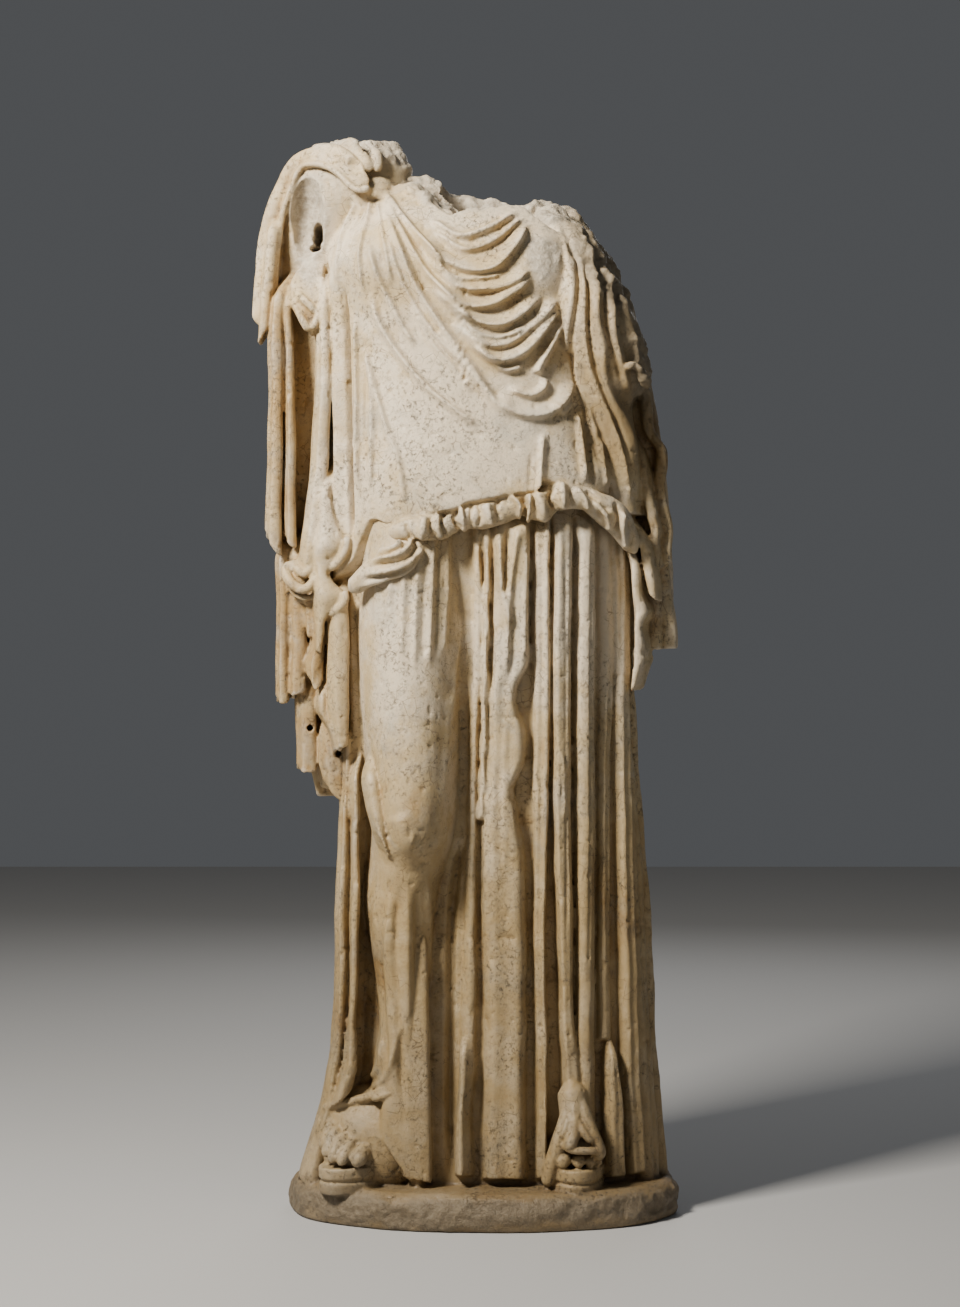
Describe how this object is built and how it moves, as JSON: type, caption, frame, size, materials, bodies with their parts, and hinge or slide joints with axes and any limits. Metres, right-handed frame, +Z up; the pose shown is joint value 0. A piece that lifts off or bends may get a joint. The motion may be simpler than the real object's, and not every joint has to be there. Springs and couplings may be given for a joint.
{
  "type": "classical marble statue",
  "caption": "Headless, armless marble statue of a standing woman in a belted, overfolded robe with a mantle down the back, carved in one block with a low plinth",
  "frame": {"origin": "under the middle of the statue's box, on the plinth's flat underside", "axes": "+Z up; the figure faces -Y; +X is the viewer's right, which is the figure's left side"},
  "size_m": [0.691, 0.418, 1.75],
  "materials": {
    "marble": "weathered, warm cream with honey-brown stains in the recesses and fine dark pitting"
  },
  "bodies": {
    "root": {"statue": "marble"}
  },
  "joints": []
}
